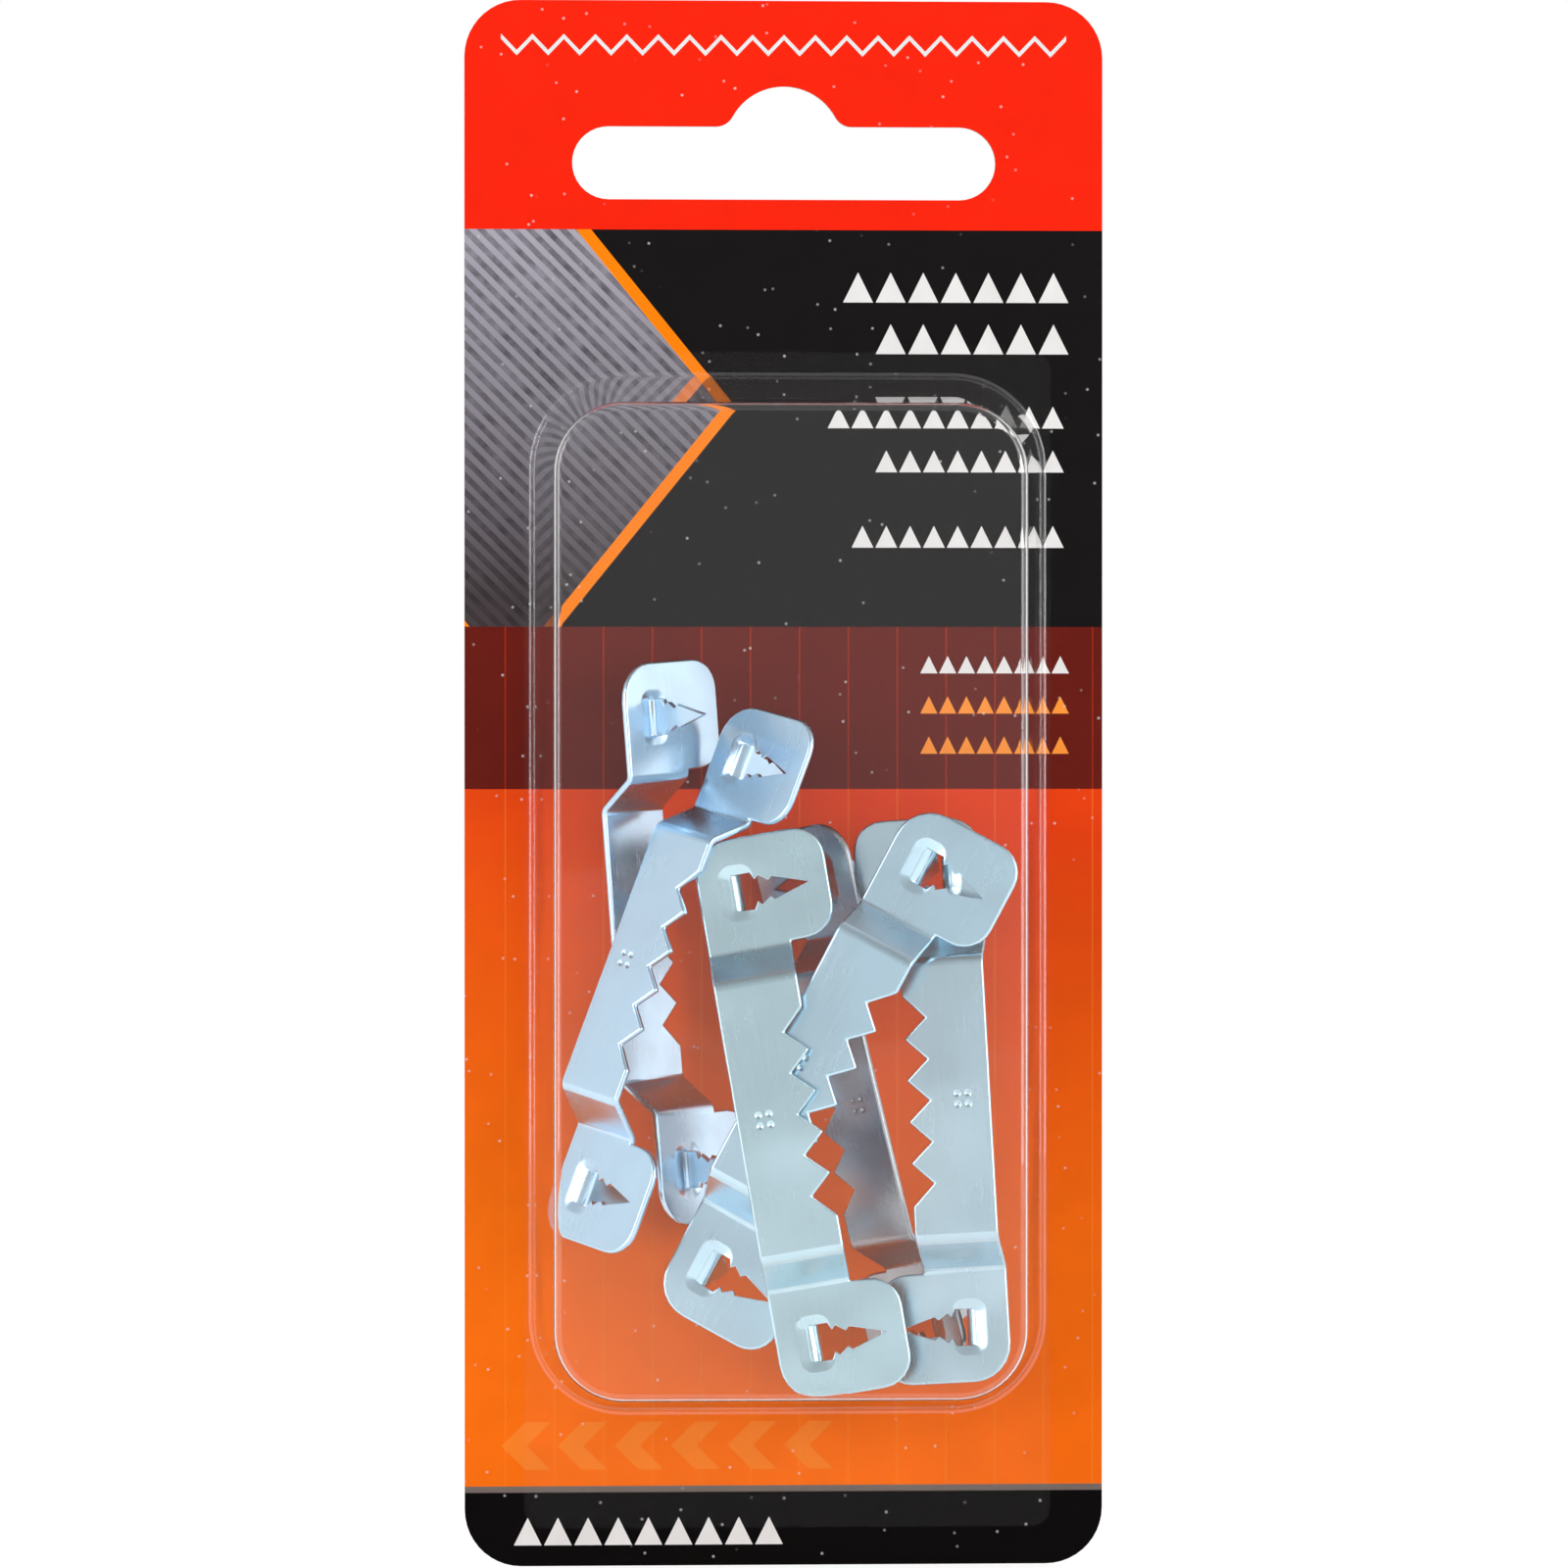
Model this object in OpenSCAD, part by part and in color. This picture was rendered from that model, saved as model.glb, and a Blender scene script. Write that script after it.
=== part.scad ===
// Hang-tag pack of six push-in sawtooth picture hangers.
// X is to the right, Z is up and the printed front faces -Y. The origin is the centre of
// the slot's round hump, on the back face of the card.

/* [Backing card] */
// Width of the card
card_w = 50.8; // [48:0.1:58]
// Height of the card
card_h = 124.4; // [121:0.1:150]
// Thickness of the board
card_t = 0.5; // [0.3:0.05:0.8]
// Radius of the card's corners
card_corner_r = 4.5; // [2:0.1:8]
// Board between the top edge and the slot's hump
slot_top_margin = 6.8; // [5:0.1:9]

/* [Peg slot] */
// Width of the slot from end to end
slot_w = 33.7; // [30:0.1:38]
// Height of the slot beside the hump
slot_h = 5.8; // [4.5:0.1:7]
// Radius of the hump that centres the peg
hump_r = 4.65; // [4:0.05:5.5]
// Height of the hump's centre over the slot's axis
hump_rise = 1.45; // [0.8:0.05:2]
// Radius of the fillets beside the hump
hump_fillet_r = 1.5; // [0.5:0.1:2.5]

/* [Blister] */
// Thickness of the clear sheet
blister_t = 0.3; // [0.2:0.05:0.4]
// Lean of the tray's walls from the foot to the front
tray_draft = 1.9; // [0.8:0.1:2.4]
// Radius of the tray's corners at the front
tray_corner_r = 5.4; // [4:0.1:7]
// Radius between the walls and the front
tray_rim_r = 1; // [0.5:0.1:1.5]
// Height of the low step round the foot of the tray
step_h = 0.9; // [0.5:0.1:1.5]
// Width of the ledge on that step
step_w = 0.3; // [0.2:0.1:0.8]
// Flange beside the tray
flange_side = 0.5; // [0.4:0.1:1.5]
// Flange above the tray
flange_top = 1.3; // [1:0.1:4]
// Flange below the tray
flange_low = 8.7; // [6:0.1:12]
// Radius of the flange's corners
flange_corner_r = 1.5; // [0.8:0.1:3]
// Board between the flange and the card's bottom edge
flange_card_margin = 3; // [2:0.1:5]

/* [Room in the tray] */
// Free height above the heap, in which the hangers slide
headroom = 20.6; // [12:0.2:26]
// Gap between the heap and the side walls
side_room = 0.4; // [0.3:0.05:0.8]
// Gap between the heap and the front
front_room = 0.3; // [0.2:0.05:0.8]
// Gap between the heap and the floor
floor_room = 0.25; // [0.2:0.05:0.6]

/* [Hanger strip] */
// Length of the hanger
hanger_len = 44.5; // [42:0.1:47]
// Thickness of the steel
sheet_t = 0.55; // [0.45:0.05:0.6]
// Width of the body across the untoothed edge
body_w = 6.6; // [6.2:0.1:7]
// Height of the body over the pads
lift = 3.2; // [3:0.1:3.6]
// Length of the sloping stretch between a pad and the body
joggle_run = 3.1; // [2.2:0.1:3.4]
// Inside radius of the bends
bend_r = 0.5; // [0.3:0.05:0.7]

/* [Hanger pads] */
// Width of a pad
pad_w = 10.3; // [9.6:0.1:10.8]
// Length of a pad
pad_len = 8.7; // [8:0.1:9.4]
// Radius of the pad's corner on the straight edge
pad_corner_r = 3; // [1:0.1:3.4]
// Radius of the ear's two corners
ear_r = 2.4; // [1:0.1:3]

/* [Teeth] */
// Distance between two notches
tooth_pitch = 3.25; // [3:0.05:3.4]
// Depth of a notch
tooth_depth = 1.75; // [1.2:0.05:2]
// Number of notches
notch_count = 5; // [3:2:5]

/* [Prongs] */
// Length of the blank that is cut out of the pad
prong_len = 6.2; // [5.4:0.1:6.6]
// Width of the prong at its root
prong_w = 2.9; // [2.2:0.1:3.4]
// Distance from the straight edge to the prong's bend
prong_inset = 2.5; // [2:0.1:3]
// Inside radius of the prong's bend
prong_bend_r = 0.4; // [0.3:0.05:0.6]

/* [Centre mark] */
// Distance from the straight edge to the mark
mark_inset = 2.2; // [1.8:0.1:2.6]
// Width of the boss that the punch leaves behind the sheet
mark_w = 1.9; // [1.4:0.1:2.2]
// Distance between the four pits in front
pit_pitch = 0.85; // [0.7:0.05:1]
// Width of a pit
pit_w = 0.65; // [0.4:0.05:0.65]
// Depth of the pits, and height of the boss
mark_depth = 0.18; // [0.1:0.02:0.2]

/* [Hidden] */

// One row for each hanger, chosen by hand: its place across the pack as a share of the
// pad's width, its height as a share of the length, its two shares of depth (of the
// prong's reach and of the lift), its turn, pitch and roll in degrees, and 1 where its
// back faces forward.
HEAP_shares = [
    [-0.88, 0.49, 0, 1.72, -4.3, 0.5, 42.5, 1],
    [-0.93, 0.435, 1, 0.16, 20.3, -3.1, -49.5, 0],
    [-0.09, 0.185, 1, 1.25, -9.6, -3.4, -4, 0],
    [0.7, 0.215, 1, -0.04, 166.5, 0.4, 46.5, 0],
    [0.22, 0.27, 1, 0.95, 27.8, 2.8, -14.5, 0],
    [1.27, 0.215, 1, 0.78, 177, 3.3, 13, 0],
];
// Barbs of the prong from its root to its point, as shares of its length and half width.
BARB_shares = [[0, 1], [0.28, 1], [0.33, 0.58], [0.38, 0.8], [0.5, 0.42], [0.55, 0.62], [1, 0]];
// Segments in a quarter of a sheet-metal bend or corner.
arc_steps = 6;
// Overrun of the cuts.
overrun = 1;
$fn = 48;

// Points on an arc.
function arc(centre, r, from, to, steps = arc_steps) =
    [for (i = [0 : steps]) let (a = from + (to - from) * i / steps)
        centre + r * [cos(a), sin(a)]];
// An outline's points on the other side of an axis, in the order that closes the outline.
function other_side(points, axis) =
    [for (i = [len(points) - 1 : -1 : 0]) [for (k = [0, 1]) points[i][k] * (k == axis ? -1 : 1)]];

// Hanger, flat: v runs across it towards the teeth, u along it and w out of its front.
straight_v = -body_w / 2;
tooth_v = body_w / 2;
ear_v = straight_v + pad_w;
end_u = hanger_len / 2;
pad_u = end_u - pad_len;
body_u = pad_u - joggle_run;
neutral_r = bend_r + sheet_t / 2;
slant = atan2(lift - 2 * neutral_r, joggle_run)
    + asin(2 * neutral_r / norm([joggle_run, lift - 2 * neutral_r]));
prong_v = straight_v + prong_inset;
prong_u = end_u - pad_len / 2;
bend_used = (prong_bend_r + sheet_t / 2) * PI / 2;
prong_reach = prong_bend_r + prong_len - bend_used;
mark_v = straight_v + mark_inset;

// Side view of the strip, as u and w.
front_line = concat(
    arc([body_u, lift - bend_r], bend_r + sheet_t, 90, 90 - slant),
    arc([pad_u, sheet_t + bend_r], bend_r, 270 - slant, 270),
    [[end_u, sheet_t]]);
back_line = concat(
    [[end_u, 0]],
    arc([pad_u, sheet_t + bend_r], bend_r + sheet_t, 270, 270 - slant),
    arc([body_u, lift - bend_r], bend_r, 90 - slant, 90));

module strip_side() {
    polygon(concat(other_side(front_line, 0), front_line, back_line, other_side(back_line, 0)));
}

// Face view of the strip, as v and u.
middle_notch = (notch_count - 1) / 2;
toothed_edge = concat(
    [[tooth_v, -middle_notch * tooth_pitch - tooth_depth]],
    [for (i = [-middle_notch : middle_notch])
        each i < middle_notch
            ? [[tooth_v - tooth_depth, i * tooth_pitch], [tooth_v, (i + 1 / 2) * tooth_pitch]]
            : [[tooth_v - tooth_depth, i * tooth_pitch]]],
    [[tooth_v, middle_notch * tooth_pitch + tooth_depth]]);
pad_edge = concat(
    [[tooth_v, pad_u]],
    arc([ear_v - ear_r, pad_u + ear_r], ear_r, -90, 0),
    arc([ear_v - ear_r, end_u - ear_r], ear_r, 0, 90),
    arc([straight_v + pad_corner_r, end_u - pad_corner_r], pad_corner_r, 90, 180));

module strip_face() {
    polygon(concat(toothed_edge, pad_edge, other_side(pad_edge, 1)));
}

// Blank of a prong, as distance from its root and place across it.
blank_edge = [for (s = BARB_shares) [s[0] * prong_len, s[1] * prong_w / 2]];
blade_edge = concat(
    [[0, prong_w / 2]],
    [for (p = blank_edge) if (p[0] > bend_used) [p[0] - bend_used, p[1]]]);

module prong_hole() {
    translate([prong_v, overrun, 0]) rotate([90, 0, 0]) linear_extrude(sheet_t + 2 * overrun)
        polygon(concat(blank_edge, other_side(blank_edge, 1)));
}

module prong() {
    root = prong_v - prong_inset / 10;
    translate([0, 0, -prong_w / 2]) linear_extrude(prong_w) mirror([0, 1])
        polygon(concat(
            [[root, sheet_t]],
            arc([prong_v, -prong_bend_r], prong_bend_r + sheet_t, 90, 0),
            arc([prong_v, -prong_bend_r], prong_bend_r, 0, 90),
            [[root, 0]]));
    translate([prong_v + prong_bend_r, prong_bend_r, 0]) rotate([90, 0, 90])
        linear_extrude(sheet_t) polygon(concat(blade_edge, other_side(blade_edge, 1)));
}

// Radius of a ball whose cap has the given width and height.
function cap_r(w, h) = (w * w / 4 + h * h) / (2 * h);

module mark_pits() {
    ball_r = cap_r(pit_w, mark_depth);
    for (a = [-1, 1], b = [-1, 1])
        translate([mark_v + a * pit_pitch / 2, -lift - sheet_t - ball_r + mark_depth,
            b * pit_pitch / 2]) sphere(ball_r);
}

module mark_boss() {
    ball_r = cap_r(mark_w, mark_depth);
    intersection() {
        translate([mark_v, -lift - ball_r + mark_depth, 0]) sphere(ball_r);
        translate([mark_v, -lift + sheet_t / 2, 0]) rotate([90, 0, 0])
            cylinder(h = sheet_t, r = mark_w);
    }
}

module hanger_blank() {
    difference() {
        intersection() {
            translate([straight_v - overrun, 0, 0]) rotate([180, -90, 0])
                linear_extrude(pad_w + 2 * overrun) strip_side();
            translate([0, overrun, 0]) rotate([90, 0, 0])
                linear_extrude(lift + sheet_t + 2 * overrun) strip_face();
        }
        for (side = [-1, 1])
            translate([0, 0, side * prong_u]) prong_hole();
        mark_pits();
    }
    for (side = [-1, 1])
        translate([0, 0, side * prong_u]) prong();
    mark_boss();
}

// Places of the heap.
function spin_x(p, a) = [p[0], p[1] * cos(a) - p[2] * sin(a), p[1] * sin(a) + p[2] * cos(a)];
function spin_y(p, a) = [p[0] * cos(a) + p[2] * sin(a), p[1], p[2] * cos(a) - p[0] * sin(a)];
function spin_z(p, a) = [p[0] * cos(a) - p[1] * sin(a), p[0] * sin(a) + p[1] * cos(a), p[2]];
// A direction on a hanger, as [v, back, u], turned as that hanger lies.
function laid(p, row) =
    spin_y(spin_x(spin_z(spin_x(p, 180 * row[7]), row[6]), row[5]), row[4]);
function place(row) = [
    row[0] * pad_w,
    -card_t - row[2] * prong_reach - row[3] * lift,
    row[1] * hanger_len];
// Spots that bound a hanger, each with the radius of the corner round it.
spots = concat(
    [for (u = [-1, 1], w = [0, sheet_t])
        each [
            [[straight_v + pad_corner_r, -w, u * (end_u - pad_corner_r)], pad_corner_r],
            [[ear_v - ear_r, -w, u * (end_u - ear_r)], ear_r]]],
    [for (u = [-1, 1], v = [straight_v, tooth_v], w = [lift, lift + sheet_t])
        [[v, -w, u * body_u], 0]],
    [for (u = [-1, 1], v = [prong_bend_r, prong_bend_r + sheet_t])
        [[prong_v + v, prong_reach, u * prong_u], 0]]);
// How far a spot of a hanger reaches along a direction, and how far the heap does.
function spot_reach(row, s, way) = (place(row) + laid(s[0], row)) * way
    + s[1] * norm([laid([1, 0, 0], row) * way, laid([0, 0, 1], row) * way]);
function heap_reach(way) = max([for (row = HEAP_shares, s = spots) spot_reach(row, s, way)]);
heap_high = heap_reach([0, 0, 1]);
heap_front = heap_reach([0, -1, 0]) - card_t;
tray_depth = heap_front + front_room;
// How far the leaning walls stand outside their front end, at a spot's depth.
function lean_at(row, s) =
    tray_draft * (1 - (spot_reach(row, s, [0, -1, 0]) - card_t) / tray_depth);
// What the heap needs of the tray's front end, towards one side or downwards.
function front_need(way) =
    max([for (row = HEAP_shares, s = spots) spot_reach(row, s, way) - lean_at(row, s)]);
heap_half_w = max(front_need([1, 0, 0]), front_need([-1, 0, 0]));
heap_low = -front_need([0, 0, -1]);

// Tray, all inside sizes: the front is the small end.
front_w = 2 * (heap_half_w + side_room);
front_h = heap_high - heap_low + floor_room + headroom;
// Largest radius at the front's lower corners that still clears each spot of the heap.
corner_limit = min([for (row = HEAP_shares, s = spots, side = [-1, 1])
    let (lean = lean_at(row, s),
        a = front_w / 2 - spot_reach(row, s, [side, 0, 0]) - floor_room,
        b = -spot_reach(row, s, [0, 0, -1]) - heap_low)
    s[1] + floor_room + a + b + lean + sqrt(2 * (a + lean) * (b + lean))]);
front_corner_r = min(tray_corner_r, corner_limit);
foot_w = front_w + 2 * tray_draft;
foot_h = front_h + 2 * tray_draft;
foot_corner_r = front_corner_r + tray_draft;
step_out_w = foot_w + 2 * step_w;
step_out_h = foot_h + 2 * step_w;
step_corner_r = foot_corner_r + step_w;
flange_w = step_out_w + 2 * (blister_t + flange_side);
flange_h = step_out_h + 2 * blister_t + flange_top + flange_low;

// Heights on the card.
card_top_z = hump_r + slot_top_margin;
card_low_z = card_top_z - card_h;
flange_low_z = card_low_z + flange_card_margin;
tray_mid_z = flange_low_z + flange_low + blister_t + step_out_h / 2;
heap_z = tray_mid_z - front_h / 2 + floor_room - heap_low;

module rounded_rect(w, h, r) {
    square([w - 2 * r, h], center = true);
    square([w, h - 2 * r], center = true);
    for (x = [-1, 1], y = [-1, 1])
        translate([x * (w / 2 - r), y * (h / 2 - r)]) circle(r);
}

// Half of the slot, from the middle of its lower edge round to the top of the hump.
slot_end_x = (slot_w - slot_h) / 2;
fillet_rise = slot_h / 2 + hump_fillet_r - hump_rise;
fillet_x = sqrt(pow(hump_r + hump_fillet_r, 2) - pow(fillet_rise, 2));
fillet_turn = atan2(fillet_rise, fillet_x);
slot_edge = concat(
    arc([slot_end_x, -hump_rise], slot_h / 2, -90, 90, 3 * arc_steps),
    arc([fillet_x, fillet_rise], hump_fillet_r, 270, 180 + fillet_turn),
    arc([0, 0], hump_r, fillet_turn, 90, 2 * arc_steps));

module slot_outline() {
    polygon(concat(slot_edge, other_side([for (p = slot_edge) if (p[0] > 0) p], 0)));
}

module backing_card() {
    color("orangered")
        rotate([90, 0, 0]) linear_extrude(card_t) difference() {
            translate([0, card_top_z - card_h / 2]) rounded_rect(card_w, card_h, card_corner_r);
            slot_outline();
        }
}

// Solid of the tray's hollow, drawn larger by grow on its sides and front.
module tray_form(grow) {
    corner_x = front_w / 2 - front_corner_r;
    corner_y = front_h / 2 - front_corner_r;
    depth = tray_depth + grow;
    rim_r = tray_rim_r + grow;
    side = concat(
        [[0, 0], [foot_corner_r + grow, 0]],
        arc([front_corner_r - tray_rim_r, depth - rim_r], rim_r, 0, 90),
        [[0, depth]]);
    hull() for (x = [-1, 1], y = [-1, 1])
        translate([x * corner_x, y * corner_y]) rotate_extrude($fn = 32) polygon(side);
}

module step_form(grow, height) {
    linear_extrude(height)
        rounded_rect(step_out_w + 2 * grow, step_out_h + 2 * grow, step_corner_r + grow);
}

module blister() {
    color("lightcyan", 0.35)
        translate([0, -card_t, tray_mid_z]) rotate([90, 0, 0]) difference() {
            union() {
                translate([0, (flange_top - flange_low) / 2]) linear_extrude(blister_t)
                    rounded_rect(flange_w, flange_h, flange_corner_r);
                step_form(blister_t, step_h + blister_t);
                tray_form(blister_t);
            }
            translate([0, 0, -overrun]) step_form(0, step_h + overrun);
            tray_form(0);
        }
}

module laid_hanger(i) {
    row = HEAP_shares[i];
    color("silver")
        translate(place(row) + [0, 0, heap_z]) rotate([0, row[4], 0]) rotate([row[5], 0, 0])
            rotate([0, 0, row[6]]) rotate([180 * row[7], 0, 0]) hanger_blank();
}

backing_card();
blister();
laid_hanger(0);  // hanger_1
laid_hanger(1);  // hanger_2
laid_hanger(2);  // hanger_3
laid_hanger(3);  // hanger_4
laid_hanger(4);  // hanger_5
laid_hanger(5);  // hanger_6
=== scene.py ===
"""Looks of a carded pack of sawtooth hangers: printed board, clear tray, zinc hangers."""

import math

import bmesh
import bpy
from mathutils import Matrix, Vector


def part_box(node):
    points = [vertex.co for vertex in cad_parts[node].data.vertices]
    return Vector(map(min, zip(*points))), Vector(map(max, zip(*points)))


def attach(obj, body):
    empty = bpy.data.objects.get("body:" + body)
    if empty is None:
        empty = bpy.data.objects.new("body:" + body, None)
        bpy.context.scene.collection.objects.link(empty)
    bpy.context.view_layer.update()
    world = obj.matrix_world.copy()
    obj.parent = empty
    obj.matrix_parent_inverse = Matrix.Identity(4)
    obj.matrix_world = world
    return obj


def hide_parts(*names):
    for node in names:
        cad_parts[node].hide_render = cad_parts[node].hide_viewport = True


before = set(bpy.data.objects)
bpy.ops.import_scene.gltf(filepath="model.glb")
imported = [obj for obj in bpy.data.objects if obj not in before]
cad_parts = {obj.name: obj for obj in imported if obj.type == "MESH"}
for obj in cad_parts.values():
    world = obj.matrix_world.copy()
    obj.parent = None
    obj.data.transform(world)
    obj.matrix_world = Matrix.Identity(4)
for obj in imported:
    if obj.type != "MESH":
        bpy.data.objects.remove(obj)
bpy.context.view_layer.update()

MM = 0.001
CARD_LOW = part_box("backing_card")[0]
CARD_FACE = CARD_LOW.y
SHEET_LOW, SHEET_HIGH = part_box("blister")
# Points nearer to one another than this are one point.
JOIN = 0.001 * MM


# Node helpers
class Tree:
    """Adds nodes to a node tree and joins them."""

    def __init__(self, tree):
        self.tree = tree

    def put(self, socket, value):
        if isinstance(value, bpy.types.NodeSocket):
            self.tree.links.new(value, socket)
        elif value is not None:
            socket.default_value = value

    def add(self, kind, values=None, **settings):
        node = self.tree.nodes.new(kind)
        for name, setting in settings.items():
            setattr(node, name, setting)
        for name, value in (values or {}).items():
            self.put(node.inputs[name], value)
        return node

    def math(self, operation, *values):
        node = self.add("ShaderNodeMath", operation=operation)
        for socket, value in zip(node.inputs, values):
            self.put(socket, value)
        return node.outputs[0]

    def apart(self, first, second):
        """How far two values are from one another."""
        return self.math("ABSOLUTE", self.math("SUBTRACT", first, second))

    def both(self, *masks):
        mask = masks[0]
        for other in masks[1:]:
            mask = self.math("MULTIPLY", mask, other)
        return mask

    def between(self, value, low, high):
        return self.both(self.math("GREATER_THAN", value, low),
                         self.math("LESS_THAN", value, high))

    def spread(self, value, from_low, from_high, to_low, to_high):
        return self.add("ShaderNodeMapRange", {
            "Value": value, "From Min": from_low, "From Max": from_high,
            "To Min": to_low, "To Max": to_high}).outputs[0]

    def mix(self, share, below, above):
        node = self.add("ShaderNodeMix", data_type="RGBA")
        for index, value in ((0, share), (6, below), (7, above)):
            self.put(node.inputs[index], value)
        return node.outputs[2]

    def join(self, kind, shaders, values=None):
        """A Mix or Add Shader of two shaders."""
        node = self.add(kind, values)
        for socket, shader in zip(list(node.inputs)[-2:], shaders):
            self.put(socket, shader)
        return node.outputs[0]


def new_object(name, data):
    piece = bpy.data.objects.new(name, data)
    bpy.context.scene.collection.objects.link(piece)
    return piece


def ink(red, green, blue):
    """A print colour, given on the usual scale of 0 to 255."""
    def linear(c):
        c /= 255
        return c / 12.92 if c <= 0.04045 else ((c + 0.055) / 1.055) ** 2.4
    return linear(red), linear(green), linear(blue), 1


def new_material(name):
    material = bpy.data.materials.new(name)
    material.use_nodes = True
    material.node_tree.nodes.clear()
    return material, Tree(material.node_tree)


def finish_material(nodes, shader):
    output = nodes.add("ShaderNodeOutputMaterial")
    nodes.put(output.inputs["Surface"], shader)


def noise(nodes, place, scale, detail=2):
    return nodes.add("ShaderNodeTexNoise", {
        "Vector": place, "Scale": scale, "Detail": detail}).outputs["Fac"]


def bump(nodes, height, distance, strength, normal=None):
    return nodes.add("ShaderNodeBump", {
        "Height": height, "Distance": distance, "Strength": strength,
        "Normal": normal}).outputs[0]


# Camera
CAMERA_PLACE = Vector((-0.0411, -0.7005, -0.0454))
CAMERA_AIM = Vector((0, -0.0005, -0.0508))
CAMERA_LENS = 202.4

camera_data = bpy.data.cameras.new("camera")
camera_data.lens = CAMERA_LENS
camera_data.clip_start = 0.01
camera = new_object("camera", camera_data)
camera.location = CAMERA_PLACE
camera.rotation_euler = (CAMERA_AIM - CAMERA_PLACE).to_track_quat("-Z", "Y").to_euler()
bpy.context.scene.camera = camera
bpy.context.scene.view_settings.view_transform = "Standard"


# Printed card
RED = ink(247, 38, 15)
BLACK = ink(24, 22, 22)
FOOTER_BLACK = ink(12, 10, 10)
MAROON = ink(103, 30, 22)
ORANGE_TOP = ink(232, 66, 19)
ORANGE_LOW = ink(254, 114, 18)
RULE_GREY = ink(120, 108, 102)
LIGHT = ink(232, 230, 228)
PALE_ORANGE = ink(252, 150, 60)
RIM_ORANGE = ink(255, 132, 12)
GREY_LOW, GREY_TOP, HATCH_GREY = ink(70, 62, 64), ink(172, 168, 180), ink(40, 36, 40)
# The darker and the lighter tone of the bare board's cut edge and of its back.
EDGE_TONES = ink(196, 190, 180), ink(228, 224, 216)
BACK_TONES = ink(206, 203, 196), ink(226, 223, 217)
# The sizes of the print are in millimetres from the origin. These are the heights at which
# one of its colours ends and the next begins.
RED_END, BLACK_END, MAROON_END, ORANGE_END, RULE_END = -6.75, -38.3, -51.2, -106.6, -107.1
# Where the orange band's fade ends, and how much of it goes with each millimetre across.
FADE_END, FADE_LEAN = -88, -0.004
# How far round the cut edge the print and the back's paper reach.
PRINT_DEPTH = 0.03
HAIRLINE_PITCH, HATCH_PITCH = 3.9, 1.3
# Where in its pitch a hairline begins and ends.
HAIRLINE_SPAN = (0.3, 0.33)
# How strong the ink of the hairlines and of the arrows is.
HAIRLINE_INK, ARROW_INK = 0.28, 0.45
# The share of its pitch that a triangle and an arrow take up.
TRIANGLE_SHARE, ARROW_SHARE = 0.92, 0.45
# How far out the lozenge's rim ends, where 1 is the lozenge's edge.
RIM_REACH = 1.07
# The heights between which the lozenge's grey fades.
GREY_SPAN = (-36, -6)
# Foot, size and left end of each row of triangles in the black band. All end near one line.
BLACK_ROWS = ((-12.5, 2.6, 4.6), (-16.6, 2.6, 7.2), (-22.5, 1.9, 3.4), (-26, 1.9, 7.2),
              (-32, 1.9, 5.3))
ROWS_RIGHT = 22.9
# Foot and tone of each row in the maroon band.
MAROON_ROWS = ((-42, LIGHT), (-45.2, PALE_ORANGE), (-48.4, PALE_ORANGE))


def along_pitch(nodes, x, left, pitch):
    """How far a place is through its own repeat of a pattern, from 0 to 1."""
    return nodes.math("FRACT", nodes.math("DIVIDE", nodes.math("SUBTRACT", x, left), pitch))


def fold(nodes, share):
    """1 at both ends of a repeat and 0 at its middle."""
    return nodes.math("ABSOLUTE", nodes.math("MULTIPLY_ADD", share, 2, -1))


def triangles(nodes, x, z, left, right, low, size):
    """A row of upright triangles, as high as their pitch."""
    off = fold(nodes, along_pitch(nodes, x, left, size))
    rise = nodes.math("DIVIDE", nodes.math("SUBTRACT", z, low), size)
    return nodes.both(nodes.between(x, left, right), nodes.between(z, low, low + size),
                      nodes.math("LESS_THAN", nodes.math("ADD", off, rise), TRIANGLE_SHARE))


def zigzag(nodes, x, z, left, right, middle, height, pitch, width):
    """A sawtooth line."""
    wave = nodes.math("MULTIPLY", nodes.math(
        "SUBTRACT", fold(nodes, along_pitch(nodes, x, left, pitch)), 0.5), height)
    off = nodes.apart(nodes.math("SUBTRACT", z, middle), wave)
    return nodes.both(nodes.between(x, left, right), nodes.math("LESS_THAN", off, width / 2))


def lozenge(nodes, x, z, middle_x, middle_z, half_w, half_h):
    """How far out a place is from a lozenge's middle: 1 is its edge."""
    return nodes.math("ADD", nodes.math("DIVIDE", nodes.apart(x, middle_x), half_w),
                      nodes.math("DIVIDE", nodes.apart(z, middle_z), half_h))


def chevrons(nodes, x, z, left, right, middle, half_h, pitch):
    """A row of broad arrow bands."""
    bent = nodes.math("SUBTRACT", x, nodes.apart(z, middle))
    return nodes.both(nodes.between(x, left, right),
                      nodes.between(z, middle - half_h, middle + half_h),
                      nodes.math("LESS_THAN", along_pitch(nodes, bent, left, pitch),
                                 ARROW_SHARE))


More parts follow.
